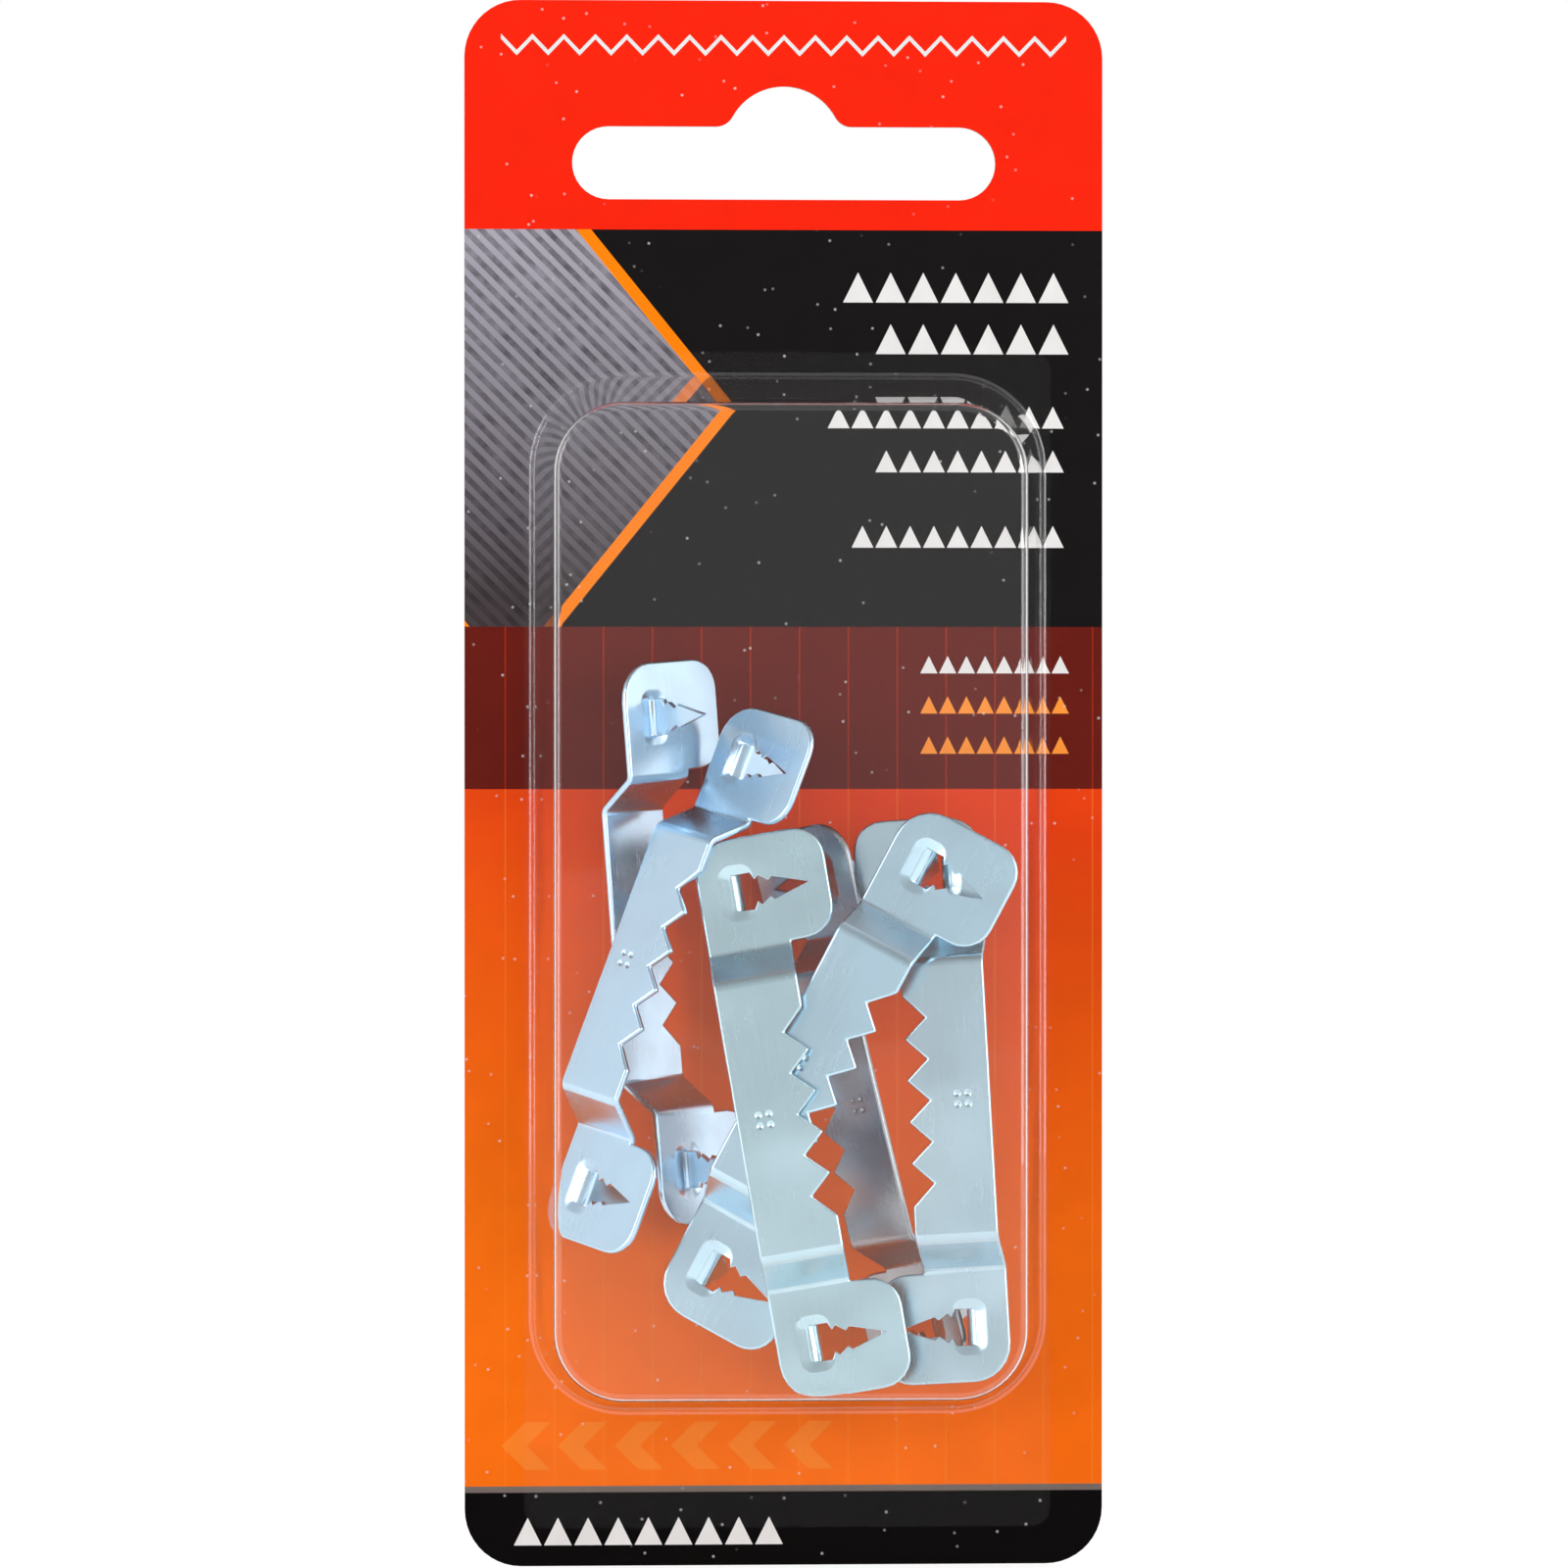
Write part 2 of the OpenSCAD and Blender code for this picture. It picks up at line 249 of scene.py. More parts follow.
def print_colour(nodes, place, x, z):
    """Colour of the printed face: bands, hairlines and a plain geometric design."""
    fade = nodes.math("MULTIPLY_ADD", x, FADE_LEAN,
                      nodes.spread(z, MAROON_END, FADE_END, 0, 1))
    orange = nodes.mix(fade, ORANGE_TOP, ORANGE_LOW)
    # Evenly spaced hairlines in the maroon and the orange band.
    share = nodes.math("FRACT", nodes.math("DIVIDE", x, HAIRLINE_PITCH))
    hairline = nodes.math("MULTIPLY", nodes.between(share, *HAIRLINE_SPAN), HAIRLINE_INK)
    orange = nodes.mix(hairline, orange, PALE_ORANGE)
    maroon = nodes.mix(hairline, MAROON, ORANGE_TOP)

    colour = RED
    for top, tone in ((RED_END, BLACK), (BLACK_END, maroon), (MAROON_END, orange),
                      (ORANGE_END, RULE_GREY), (RULE_END, FOOTER_BLACK)):
        colour = nodes.mix(nodes.math("LESS_THAN", z, top), colour, tone)

    # A lozenge with an orange rim and grey hatching.
    reach = lozenge(nodes, x, z, middle_x=-22, middle_z=-21, half_w=17, half_h=21)
    hatch = nodes.math("FRACT", nodes.math("DIVIDE", nodes.math("ADD", x, z), HATCH_PITCH))
    grain = noise(nodes, place, 900)
    grey = nodes.mix(nodes.spread(z, *GREY_SPAN, 0, 1), GREY_LOW, GREY_TOP)
    grey = nodes.mix(nodes.both(nodes.between(hatch, 0, 0.5), grain), grey, HATCH_GREY)
    in_black = nodes.between(z, BLACK_END, RED_END)
    designs = [(nodes.both(in_black, nodes.math("LESS_THAN", reach, 1)), grey),
               (nodes.both(in_black, nodes.between(reach, 1, RIM_REACH)), RIM_ORANGE)]
    # Rows of whole triangles, arrows and a sawtooth line.
    for low, size, left in BLACK_ROWS:
        whole = size * math.floor((ROWS_RIGHT - left) / size)
        designs.append((triangles(nodes, x, z, left, left + whole, low, size), LIGHT))
    for low, tone in MAROON_ROWS:
        designs.append((triangles(nodes, x, z, left=10.8, right=22.8, low=low, size=1.5), tone))
    arrows = chevrons(nodes, x, z, left=-22.5, right=4.5, middle=-103.4, half_h=1.9, pitch=4.5)
    designs.append((nodes.math("MULTIPLY", arrows, ARROW_INK), PALE_ORANGE))
    designs.append((triangles(nodes, x, z, left=-21.6, right=0, low=-111.3, size=2.4), LIGHT))
    designs.append((zigzag(nodes, x, z, left=-22.5, right=22.5, middle=7.9, height=1.3,
                           pitch=2.5, width=0.42), LIGHT))
    for mask, tone in designs:
        colour = nodes.mix(mask, colour, tone)
    return colour


def card_material():
    """Printed board with bare cut edges and a bare back."""
    material, nodes = new_material("printed board")
    place = nodes.add("ShaderNodeTexCoord").outputs["Object"]
    axes = nodes.add("ShaderNodeSeparateXYZ", {"Vector": place}).outputs
    x, y, z = [nodes.math("DIVIDE", axis, MM) for axis in axes]
    printed = print_colour(nodes, place, x, z)
    mottle = nodes.spread(noise(nodes, place, 260, 3), 0.3, 0.7, 0.96, 1.03)
    printed = nodes.add("ShaderNodeHueSaturation", {
        "Color": printed, "Value": mottle}).outputs[0]
    # Pale specks of dust: in few cells, and smaller than their cell.
    flat = nodes.add("ShaderNodeCombineXYZ", {"X": x, "Y": z}).outputs[0]
    cells = nodes.add("ShaderNodeTexVoronoi", {"Vector": flat, "Scale": 0.7},
                      voronoi_dimensions="2D")
    chance = nodes.add("ShaderNodeSeparateColor", {
        "Color": cells.outputs["Color"]}).outputs[2]
    speck = nodes.both(nodes.spread(chance, 0.86, 1, 0, 0.7),
                       nodes.spread(cells.outputs["Distance"], 0.02, 0.1, 1, 0))
    printed = nodes.mix(speck, printed, LIGHT)

    board = nodes.mix(noise(nodes, place, 1800, 3), *EDGE_TONES)
    back = nodes.mix(noise(nodes, place, 700, 4), *BACK_TONES)
    is_front = nodes.math("LESS_THAN", y, CARD_FACE / MM + PRINT_DEPTH)
    is_back = nodes.math("GREATER_THAN", y, -PRINT_DEPTH)
    colour = nodes.mix(is_back, nodes.mix(is_front, board, printed), back)
    fibres = noise(nodes, place, 1500, 3)
    roughness = nodes.math("ADD", nodes.spread(is_front, 0, 1, 0.85, 0.45),
                           nodes.math("MULTIPLY", noise(nodes, place, 90), 0.12))
    shader = nodes.add("ShaderNodeBsdfPrincipled", {
        "Base Color": colour, "Roughness": roughness, "Specular IOR Level": 0.02,
        "Normal": bump(nodes, fibres, 0.00002, 0.35)})
    finish_material(nodes, shader.outputs[0])
    return material


# Clear sheet
def clear_material(name, index, clearness):
    """Clear formed sheet with a thin pale film.

    Light from the lamps and from the print passes straight through it."""
    material, nodes = new_material(name)
    place = nodes.add("ShaderNodeTexCoord").outputs["Object"]
    waves = noise(nodes, place, 60, 1)
    smears = nodes.spread(noise(nodes, place, 160, 4), 0.5, 0.75, 0.01, 0.035)
    glass = nodes.add("ShaderNodeBsdfPrincipled", {
        "Base Color": (0.998, 0.998, 0.998, 1), "Roughness": smears, "IOR": index,
        "Transmission Weight": clearness, "Normal": bump(nodes, waves, 0.0004, 0.12)})
    open_way = nodes.add("ShaderNodeBsdfTransparent", {"Color": (0.997, 0.998, 0.998, 1)})
    rays = nodes.add("ShaderNodeLightPath").outputs
    shader = glass.outputs[0]
    for ray in ("Is Diffuse Ray", "Is Shadow Ray"):
        shader = nodes.join("ShaderNodeMixShader", (shader, open_way.outputs[0]),
                            {"Fac": rays[ray]})
    finish_material(nodes, shader)
    return material


def cut_edge_material():
    """The trimmed edge of the flange: a faint pale line."""
    material, nodes = new_material("cut edge")
    place = nodes.add("ShaderNodeTexCoord").outputs["Object"]
    haze = nodes.spread(noise(nodes, place, 400, 3), 0.3, 0.7, 0.04, 0.16)
    clear = nodes.add("ShaderNodeBsdfTransparent").outputs[0]
    pale = nodes.add("ShaderNodeBsdfDiffuse", {"Color": (0.85, 0.86, 0.86, 1)}).outputs[0]
    finish_material(nodes, nodes.join("ShaderNodeMixShader", (clear, pale), {"Fac": haze}))
    return material


SHEET_T = 0.15 * MM
FLANGE_HALF_W, FLANGE_MID_X, FLANGE_FRONT = 20.95 * MM, 0.3 * MM, 0.16 * MM
FLANGE_CORNER, FRONT_CORNER = 1.5 * MM, 5.4 * MM
FRONT_HALF_W, FRONT_HALF_H = 18.45 * MM, 38.85 * MM
WALL_LEAN = 1.9 * MM
# Middle of the front and of the foot, measured from the flange's middle.
FRONT_MID = (-0.28 * MM, 3.3 * MM)
FOOT_MID = (0.3 * MM, 3.7 * MM)
FOOT_R, RIM_R = 0.4 * MM, 0.75 * MM
BEND_STEPS, CORNER_STEPS = 8, 14
# How far past a bend or an edge a ring lies that keeps the next face flat.
HOLD = 0.05 * MM
# How near to the front a place counts as on it, and how far from the card the sealed
# finish reaches.
ON_FRONT, SEALED_REACH = 0.01 * MM, FLANGE_FRONT * 1.1
SHEET_SHARP = math.radians(35)
# What each ring of the sheet is given by.
RING_SIZES = ("half_w", "half_h", "across", "middle", "corner_r", "stand")


def bend(points, corner, entry, exit, radius):
    """Adds a rounded corner between two directions, with a point close to either end."""
    entry, exit = Vector(entry).normalized(), Vector(exit).normalized()
    turn = entry.angle(exit)
    reach = radius * math.tan(turn / 2)
    corner = Vector(corner)
    start = corner - entry * reach
    side = (exit - entry * entry.dot(exit)).normalized()
    centre = start + side * radius
    points.append(start - entry * HOLD)
    for step in range(BEND_STEPS + 1):
        angle = turn * step / BEND_STEPS
        points.append(centre - side * radius * math.cos(angle) + entry * radius * math.sin(angle))
    points.append(corner + exit * (reach + HOLD))


def sheet_rings():
    """Rings of the sheet from the flange's edge to the middle of the front.

    Each is half its width, half its height, its middle across and up, its corner radius and
    how far it stands in front of the card."""
    half_h = (SHEET_HIGH.z - SHEET_LOW.z) / 2
    flange_mid = (SHEET_HIGH.z + SHEET_LOW.z) / 2
    depth = CARD_FACE - SHEET_LOW.y
    front_mid = flange_mid + FRONT_MID[1]
    rings = [(FLANGE_HALF_W - inset, half_h - inset, FLANGE_MID_X, flange_mid,
              FLANGE_CORNER - inset, FLANGE_FRONT) for inset in (0, HOLD)]
    # Profile outside the front's outline, as distance outwards and height.
    profile = []
    slope = Vector((-WALL_LEAN, depth)).normalized()
    bend(profile, (WALL_LEAN, FLANGE_FRONT), (-1, 0), slope, FOOT_R)
    bend(profile, (0, depth), slope, (-1, 0), RIM_R)
    for out, height in profile:
        down = (depth - height) / depth
        rise = (FOOT_MID[1] - FRONT_MID[1]) * down
        rings.append((FRONT_HALF_W + out, FRONT_HALF_H + out + rise,
                      FRONT_MID[0] + (FOOT_MID[0] - FRONT_MID[0]) * down, front_mid + rise,
                      FRONT_CORNER + out, height))
    rings.append((FRONT_HALF_W - FRONT_CORNER, FRONT_HALF_H - FRONT_CORNER, FRONT_MID[0],
                  front_mid, 0, depth))
    rings.append((0, 0, FRONT_MID[0], front_mid, 0, depth))
    return rings


def sheet_tree():
    """Lays a ring of points round the tray for each point of the profile."""
    tree = bpy.data.node_groups.new("sheet from rings", "GeometryNodeTree")
    inputs = [tree.interface.new_socket(name, in_out="INPUT", socket_type="NodeSocket" + kind)
              for name, kind in (("Geometry", "Geometry"), ("Corner steps", "Int"),
                                 ("Card face", "Float"), ("Front depth", "Float"),
                                 ("Wall finish", "Material"), ("Sealed finish", "Material"),
                                 ("Front finish", "Material"))]
    tree.interface.new_socket("Geometry", in_out="OUTPUT", socket_type="NodeSocketGeometry")
    nodes = Tree(tree)
    given = nodes.add("NodeGroupInput").outputs
    rings = nodes.add("GeometryNodeAttributeDomainSize", {
        "Geometry": given["Geometry"]}).outputs["Point Count"]
    per_corner = nodes.math("ADD", given["Corner steps"], 1)
    around = nodes.math("MULTIPLY_ADD", per_corner, 4, 1)
    net = nodes.add("GeometryNodeMeshGrid", {
        "Size X": 1.0, "Size Y": 1.0, "Vertices X": around, "Vertices Y": rings})
    spot = nodes.add("ShaderNodeSeparateXYZ", {
        "Vector": nodes.add("GeometryNodeInputPosition").outputs[0]})

    def count(share, total):
        last = nodes.math("SUBTRACT", total, 1)
        return nodes.math("ROUND", nodes.math("MULTIPLY", nodes.math("ADD", share, 0.5), last))

    index = count(spot.outputs["X"], around)
    ring = count(spot.outputs["Y"], rings)

    def of_ring(name):
        value = nodes.add("GeometryNodeInputNamedAttribute", {"Name": name},
                          data_type="FLOAT").outputs["Attribute"]
        return nodes.add("GeometryNodeSampleIndex", {
            "Geometry": given["Geometry"], "Value": value, "Index": ring},
            data_type="FLOAT", domain="POINT", clamp=True).outputs["Value"]

    corner = nodes.math("FLOOR", nodes.math("DIVIDE", index, per_corner))
    within = nodes.math("SUBTRACT", index, nodes.math("MULTIPLY", corner, per_corner))
    angle = nodes.math("MULTIPLY", nodes.math("ADD", corner, nodes.math(
        "DIVIDE", within, given["Corner steps"])), math.pi / 2)
    corner_way = nodes.math("MULTIPLY", nodes.math("ADD", corner, 0.5), math.pi / 2)
    radius = of_ring("corner_r")

    def reach(half, wave):
        side = nodes.math("SIGN", nodes.math(wave, corner_way))
        flat = nodes.math("MULTIPLY", side, nodes.math("SUBTRACT", of_ring(half), radius))
        return nodes.math("MULTIPLY_ADD", radius, nodes.math(wave, angle), flat)

    place = nodes.add("ShaderNodeCombineXYZ", {
        "X": nodes.math("ADD", of_ring("across"), reach("half_w", "COSINE")),
        "Y": nodes.math("SUBTRACT", given["Card face"], of_ring("stand")),
        "Z": nodes.math("ADD", of_ring("middle"), reach("half_h", "SINE"))})
    moved = nodes.add("GeometryNodeSetPosition", {
        "Geometry": net.outputs["Mesh"], "Position": place.outputs[0]})
    joined = nodes.add("GeometryNodeMergeByDistance", {
        "Geometry": moved.outputs[0], "Distance": JOIN})
    real = nodes.add("GeometryNodeRealizeInstances", {"Geometry": joined.outputs[0]})
    stand = nodes.math("SUBTRACT", given["Card face"], nodes.add("ShaderNodeSeparateXYZ", {
        "Vector": nodes.add("GeometryNodeInputPosition").outputs[0]}).outputs["Y"])

    def less(first, second):
        return nodes.add("FunctionNodeCompare", {"A": first, "B": second}, data_type="FLOAT",
                         operation="LESS_THAN").outputs[0]

    shape = real.outputs[0]
    for name, where in (("Wall finish", None),
                        ("Sealed finish", less(stand, SEALED_REACH)),
                        ("Front finish", less(given["Front depth"],
                                              nodes.math("ADD", stand, ON_FRONT)))):
        shape = nodes.add("GeometryNodeSetMaterial", {
            "Geometry": shape, "Selection": where, "Material": given[name]}).outputs[0]
    nodes.put(nodes.add("NodeGroupOutput").inputs[0], shape)
    return tree, [each.identifier for each in inputs[1:]]


def turned_out(mesh):
    """Merges doubles, turns the faces towards the front and marks the sharp edges."""
    work = bmesh.new()
    work.from_mesh(mesh)
    bmesh.ops.remove_doubles(work, verts=work.verts, dist=JOIN)
    bmesh.ops.dissolve_degenerate(work, edges=work.edges, dist=JOIN)
    bmesh.ops.recalc_face_normals(work, faces=work.faces)
    if sum(face.normal.y * face.calc_area() for face in work.faces) > 0:
        bmesh.ops.reverse_faces(work, faces=work.faces)
    for face in work.faces:
        face.smooth = True
    for edge in work.edges:
        if len(edge.link_faces) == 2:
            edge.smooth = edge.calc_face_angle(0) < SHEET_SHARP
    work.to_mesh(mesh)
    work.free()


def formed_sheet():
    """The blister: rings laid round the tray, given a thickness towards the card."""
    rings = sheet_rings()
    mesh = bpy.data.meshes.new("sheet rings")
    mesh.from_pydata([(0, 0, 0)] * len(rings), [], [])
    for name, sizes in zip(RING_SIZES, zip(*rings)):
        mesh.attributes.new(name, "FLOAT", "POINT").data.foreach_set("value", sizes)
    source = new_object("sheet rings", mesh)
    layer = source.modifiers.new("sheet from rings", "NODES")
    layer.node_group, names = sheet_tree()
    sealed = clear_material("sealed sheet", 1.08, 0.997)
    for name, value in zip(names, (
            CORNER_STEPS, CARD_FACE, CARD_FACE - SHEET_LOW.y,
            clear_material("clear wall", 1.5, 0.985), sealed,
            clear_material("clear front", 1.28, 0.993))):
        layer[name] = value
    graph = bpy.context.evaluated_depsgraph_get()
    shape = bpy.data.meshes.new_from_object(source.evaluated_get(graph))
    bpy.data.objects.remove(source)
    turned_out(shape)
    shape.name = "clear_tray"
    cut_edge = cut_edge_material()
    shape.materials.append(cut_edge)
    finishes = list(shape.materials)
    piece = new_object("clear_tray", shape)
    wall = piece.modifiers.new("sheet thickness", "SOLIDIFY")
    wall.thickness = SHEET_T
    wall.offset = -1
    wall.use_even_offset = True
    wall.material_offset_rim = finishes.index(cut_edge) - finishes.index(sealed)
    even_normals(piece)
    return piece


def even_normals(piece):
    """Lets the large flat faces keep their own normals beside the small bends."""
    layer = piece.modifiers.new("even normals", "WEIGHTED_NORMAL")
    layer.mode = "FACE_AREA"
    layer.weight = 100
    layer.keep_sharp = True


# Zinc
# Sizes of the strip, across it (x, teeth at the high side), out of its back (y) and
# along it (z) from its middle.
STRAIGHT_EDGE = -3.3 * MM
BODY_FRONT = -3.75 * MM
HALF_LEN = 22.25 * MM
MARK_X = -1.1 * MM
PIT_PITCH, PIT_DEPTH = 0.85 * MM, 0.16 * MM
# Radius within which a pit's faces lie, and of the dimple that replaces them.
PIT_REACH, PIT_R = 0.36 * MM, 0.324 * MM
# How far out from its middle each ring of a pit lies, and how deep, as shares.
PIT_PROFILE = ((0.8, 0.1), (0.6, 0.35), (0.4, 0.65), (0.2, 0.9))
PRONG_X, PRONG_Z = -0.8 * MM, 17.9 * MM
PRONG_LEN, PRONG_HALF_W = 6.2 * MM, 1.45 * MM
# The drawn-in place at a prong's root: its middle past PRONG_X, half its width and half its
# length, and how far from it the strip begins and ends to rise.
ROOT_X, ROOT_HALF_X, ROOT_HALF_Z = 0.6 * MM, 0.3 * MM, PRONG_HALF_W - 0.3 * MM
ROOT_NEAR, ROOT_FAR = 0.2 * MM, 1.1 * MM
EDGE_ROUND = 0.2 * MM
# Share of that rounding on the small edges of a prong and its hole, and how far round the
# prong's outline and behind its root such edges lie.
PRONG_ROUND = 0.25
PRONG_NEAR, ROOT_BEHIND = 0.2 * MM, 0.7 * MM
ZINC_SHARP, ZINC_FLAT = math.radians(40), math.radians(0.8)
ZINC_GLOSS = 0.24


def zinc_material(name, tint_with_painted_shade):
    """Zinc plate: rolling marks along the strip, a faint bloom and drawn-in prong roots."""
    material, nodes = new_material(name)
    strip = nodes.add("ShaderNodeAttribute", attribute_name="strip").outputs["Vector"]
    streaks = nodes.add("ShaderNodeMapping", {
        "Vector": strip, "Scale": (7000, 7000, 300)}, vector_type="POINT").outputs[0]
    rolled = noise(nodes, streaks, 1, 3)
    bloom = noise(nodes, strip, 260, 3)
    waves = noise(nodes, strip, 85, 1)
    # The given tint holds painted light and shade for this hanger as well as the zinc's colour.
    dark = tuple(c * 0.93 for c in tint_with_painted_shade[:3]) + (1,)
    colour = nodes.mix(nodes.spread(bloom, 0.35, 0.7, 0, 1), tint_with_painted_shade, dark)
    roughness = nodes.math(
        "ADD", nodes.spread(bloom, 0.3, 0.7, ZINC_GLOSS - 0.02, ZINC_GLOSS + 0.04),
        nodes.spread(rolled, 0.3, 0.7, -0.02, 0.02))
    # How far a place is from the nearest prong's root.
    axes = nodes.add("ShaderNodeSeparateXYZ", {"Vector": strip})
    off_x = nodes.math("SUBTRACT", axes.outputs["X"], PRONG_X)
    off_z = nodes.math("SUBTRACT", nodes.math("ABSOLUTE", axes.outputs["Z"]), PRONG_Z)
    past = nodes.math("MAXIMUM", nodes.math(
        "SUBTRACT", nodes.math("ABSOLUTE", off_z), ROOT_HALF_Z), 0)
    beside = nodes.math("MAXIMUM", nodes.math(
        "SUBTRACT", nodes.apart(off_x, ROOT_X), ROOT_HALF_X), 0)
    away = nodes.math("POWER", nodes.math("ADD", nodes.math("POWER", past, 2),
                                          nodes.math("POWER", beside, 2)), 0.5)
    drawn = nodes.math("SMOOTH_MIN", nodes.spread(away, ROOT_NEAR, ROOT_FAR, 0, 1), 1, 0.4)
    dents = bump(nodes, waves, 0.0007, 0.5)
    roots = bump(nodes, drawn, 0.0003, 0.8, dents)
    shader = nodes.add("ShaderNodeBsdfPrincipled", {
        "Base Color": colour, "Metallic": 1.0, "Roughness": roughness,
        "Normal": bump(nodes, rolled, 0.000004, 0.2, roots)})
    finish_material(nodes, shader.outputs[0])
    return material


def laid(turn, pitch, roll, flip):
    """Turns a strip from its own axes to how it lies in the tray."""
    matrix = Matrix.Identity(3)
    for angle, axis in ((turn, "Y"), (pitch, "X"), (roll, "Z"), (180 * flip, "X")):
        matrix = matrix @ Matrix.Rotation(math.radians(angle), 3, axis)
    return matrix


def round_pits(work):
    """Replaces the faceted pits of the centre mark by smooth dimples."""
    for side, end in ((-1, -1), (-1, 1), (1, -1), (1, 1)):
        centre = Vector((MARK_X + side * PIT_PITCH / 2, BODY_FRONT, end * PIT_PITCH / 2))
        inside = [face for face in work.faces
                  if all((vert.co - centre).length < PIT_REACH for vert in face.verts)]
        known = set(inside)
        ring = [edge for edge in work.edges if len(known.intersection(edge.link_faces)) == 1]
        bmesh.ops.delete(work, geom=inside, context="FACES")
        for reach, sink in PIT_PROFILE:
            made = bmesh.ops.extrude_edge_only(work, edges=ring)["geom"]
            ring = [part for part in made if isinstance(part, bmesh.types.BMEdge)]
            for vert in {vert for edge in ring for vert in edge.verts}:
                out = Vector((vert.co.x - centre.x, 0, vert.co.z - centre.z)).normalized()
                vert.co = centre + out * reach * PIT_R
                vert.co.y += sink * PIT_DEPTH
        bmesh.ops.contextual_create(work, geom=ring)


def softened(node, name, turned):
    """A merged copy of a hanger's node with its cut edges rounded."""
    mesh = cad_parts[node].data.copy()
    mesh.name = name
    mesh.materials.clear()
    work = bmesh.new()
    work.from_mesh(mesh)
    bmesh.ops.remove_doubles(work, verts=work.verts, dist=2 * JOIN)
    bmesh.ops.dissolve_limit(work, angle_limit=ZINC_FLAT, verts=work.verts, edges=work.edges)
    strip = work.verts.layers.float_vector.new("strip")
    rounding = work.edges.layers.float.new("bevel_weight_edge")
    # The work is done on the strip's own axes.
    work.transform(turned.inverted().to_4x4())
    low = Vector([min(vert.co[axis] for vert in work.verts) for axis in range(3)])
    shift = Vector((STRAIGHT_EDGE, BODY_FRONT, -HALF_LEN)) - low
    work.transform(Matrix.Translation(shift))
    round_pits(work)
    bmesh.ops.recalc_face_normals(work, faces=work.faces)
    for face in work.faces:
        face.smooth = True
    for edge in work.edges:
        if len(edge.link_faces) != 2 or edge.calc_face_angle(0) < ZINC_SHARP:
            continue
        middle = (edge.verts[0].co + edge.verts[1].co) / 2
        at_prong = (abs(abs(middle.z) - PRONG_Z) < PRONG_HALF_W + PRONG_NEAR
                    and -ROOT_BEHIND < middle.x - PRONG_X < PRONG_LEN + PRONG_NEAR)
        edge[rounding] = PRONG_ROUND if at_prong else 1.0
    for vert in work.verts:
        vert[strip] = vert.co
    work.transform(Matrix.Translation(-shift))
    work.transform(turned.to_4x4())
    work.to_mesh(mesh)
    work.free()
    piece = new_object(name, mesh)
    ease = piece.modifiers.new("rounded edges", "BEVEL")
    ease.width = EDGE_ROUND
    ease.segments = 3
    ease.limit_method = "WEIGHT"
    ease.use_clamp_overlap = False
    even_normals(piece)
    return piece


# Pieces
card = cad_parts["backing_card"]
card.data.materials.clear()
card.data.materials.append(card_material())

tray = formed_sheet()
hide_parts("blister")
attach(tray, "pack")

# Node, body, how it lies (turn, pitch, roll, flip) and its tint: a pale blue zinc colour set for
# each hanger to how bright it shows, so each tint holds painted light and shade; the fourth
# hanger's dark grey is painted shade.
HANGERS = (
    ("hanger_1", "first_hanger", (-4.3, 0.5, 42.5, 1), ink(206, 232, 252)),
    ("hanger_2", "second_hanger", (20.3, -3.1, -49.5, 0), ink(204, 232, 253)),
    ("hanger_3", "third_hanger", (-9.6, -3.4, -4, 0), ink(202, 230, 240)),
    # This hanger's dark grey tint is painted shade, for where it lies shaded under the third
    # hanger.
    ("hanger_4", "fourth_hanger", (166.5, 0.4, 46.5, 0), ink(172, 174, 178)),
    ("hanger_5", "fifth_hanger", (27.8, 2.8, -14.5, 0), ink(205, 235, 251)),
    ("hanger_6", "sixth_hanger", (177, 3.3, 13, 0), ink(199, 224, 236)),
)
for node, body, lie, tint_with_painted_shade in HANGERS:
    piece = softened(node, "zinc_" + node, laid(*lie))
    piece.data.materials.append(zinc_material("zinc of " + node, tint_with_painted_shade))
    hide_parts(node)
    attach(piece, body)


# Studio
FLOOR_HALF, FLOOR_DROP, FLOOR_GLOW = 3, 0.2 * MM, 0.64
# How bright the room is in front, behind the pack and at the upper left, where 1 is white.
FRONT_LEVEL, BACK_LEVEL, DARK_LEVEL = 0.54, 1.0, 0.3
# How bright it is at the left and at the right.
SIDE_LEVELS = (0.75, 1.6)
LAMP_AIM = Vector((0, 0, -0.05))
SIDE_LAMP, FILL_LAMP = (0.30, 0.55), (1.0, 1.0)


def floor_material():
    """Pale floor that looks white, and throws no more light on the pack for it."""
    material, nodes = new_material("pale floor")
    place = nodes.add("ShaderNodeTexCoord").outputs["Object"]
    tone = nodes.spread(noise(nodes, place, 60), 0.3, 0.7, 0.6, 0.62)
    colour = nodes.add("ShaderNodeCombineColor", {"Red": tone, "Green": tone, "Blue": tone})
    matt = nodes.add("ShaderNodeBsdfDiffuse", {"Color": colour.outputs[0]})
    rays = nodes.add("ShaderNodeLightPath").outputs
    seen = nodes.math("MAXIMUM", rays["Is Camera Ray"], nodes.math(
        "MAXIMUM", rays["Is Glossy Ray"], rays["Is Transmission Ray"]))
    glow = nodes.add("ShaderNodeEmission", {
        "Strength": nodes.math("MULTIPLY", seen, FLOOR_GLOW)})
    finish_material(nodes, nodes.join("ShaderNodeAddShader", (matt.outputs[0], glow.outputs[0])))
    return material


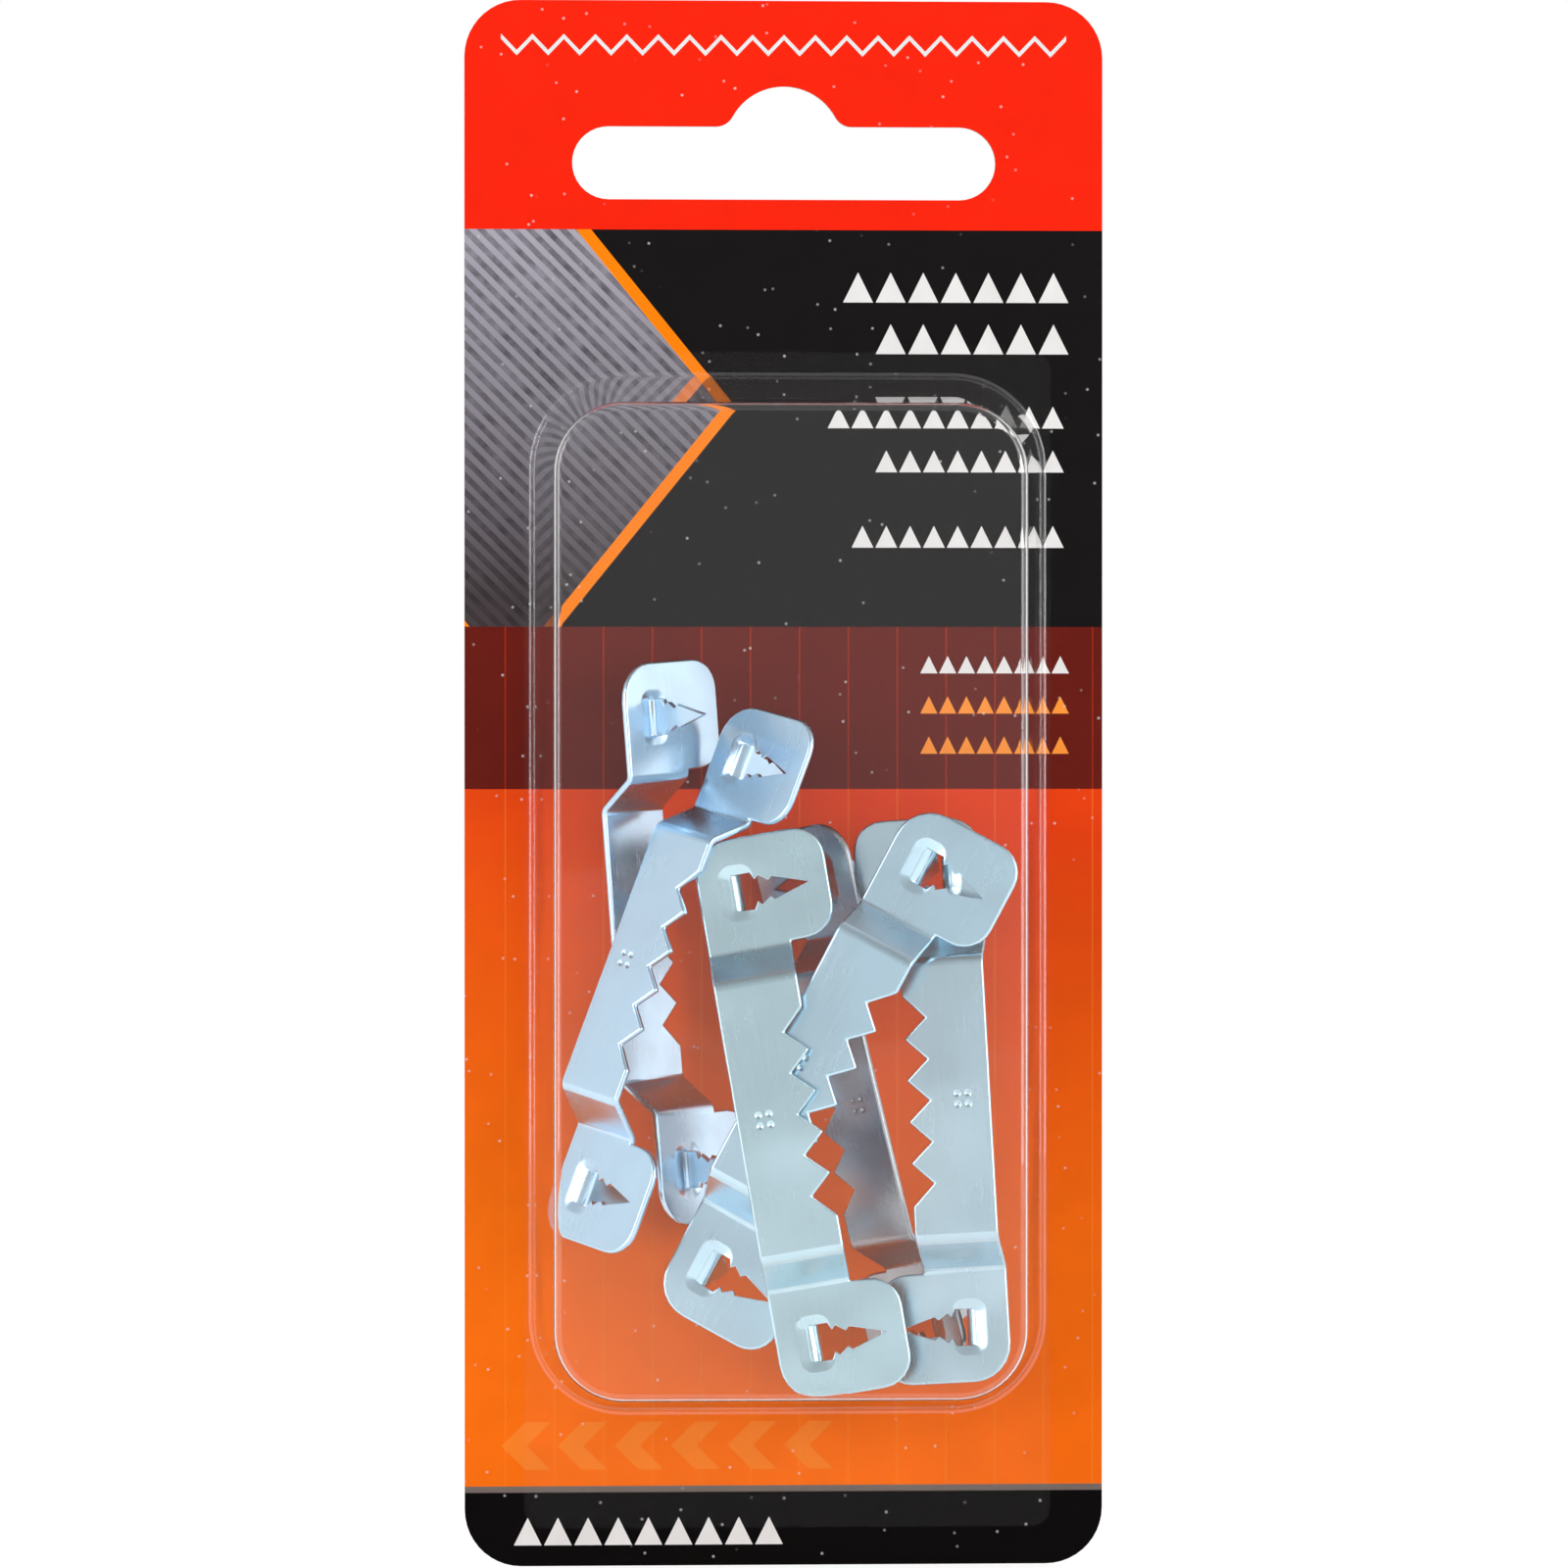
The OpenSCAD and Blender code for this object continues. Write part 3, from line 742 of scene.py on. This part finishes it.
def laid_floor():
    mesh = bpy.data.meshes.new("floor")
    mesh.from_pydata([(x * FLOOR_HALF, y * FLOOR_HALF, CARD_LOW.z - FLOOR_DROP)
                      for x, y in ((-1, -1), (1, -1), (1, 1), (-1, 1))], [], [(0, 1, 2, 3)])
    mesh.materials.append(floor_material())
    return new_object("floor", mesh)


def build_world():
    """White behind the pack, softer in front, bright at the sides and dark at the upper left."""
    world = bpy.data.worlds.new("studio")
    world.use_nodes = True
    world.node_tree.nodes.clear()
    nodes = Tree(world.node_tree)
    way = nodes.add("ShaderNodeTexCoord").outputs["Generated"]
    x, y, z = nodes.add("ShaderNodeSeparateXYZ", {"Vector": way}).outputs

    def blend(level, other, share):
        gap = nodes.math("SUBTRACT", other, level)
        return nodes.math("MULTIPLY_ADD", gap, share, level)

    level = blend(FRONT_LEVEL, nodes.spread(x, -1, 1, *SIDE_LEVELS),
                  nodes.spread(nodes.math("ABSOLUTE", x), 0.5, 1, 0, 1))
    level = blend(level, BACK_LEVEL, nodes.spread(y, -0.2, 0.6, 0, 1))
    dark = nodes.both(nodes.spread(z, 0.35, 0.9, 0, 1), nodes.spread(x, 0.3, -0.05, 0, 1))
    level = blend(level, DARK_LEVEL, dark)
    ray = nodes.add("ShaderNodeLightPath").outputs["Is Camera Ray"]
    strength = nodes.math("MAXIMUM", level, ray)
    shade = nodes.add("ShaderNodeBackground", {"Color": (1, 1, 1, 1), "Strength": strength})
    output = nodes.add("ShaderNodeOutputWorld")
    nodes.put(output.inputs["Surface"], shade.outputs[0])
    bpy.context.scene.world = world


def softbox(name, place, size, power):
    lamp = bpy.data.lights.new(name, "AREA")
    lamp.shape = "RECTANGLE"
    lamp.size, lamp.size_y = size
    lamp.energy = power
    box = new_object(name, lamp)
    box.location = place
    aim = LAMP_AIM - box.location
    box.rotation_euler = aim.to_track_quat("-Z", "Y").to_euler()
    return box


laid_floor()
build_world()
softbox("left softbox", (-0.58, -0.34, 0.05), SIDE_LAMP, 2.0)
softbox("right softbox", (0.50, -0.42, 0.02), SIDE_LAMP, 1.8)
fill = softbox("front fill", (0, -1.2, 0.1), FILL_LAMP, 3.5)
fill.visible_glossy = False
fill.visible_transmission = False
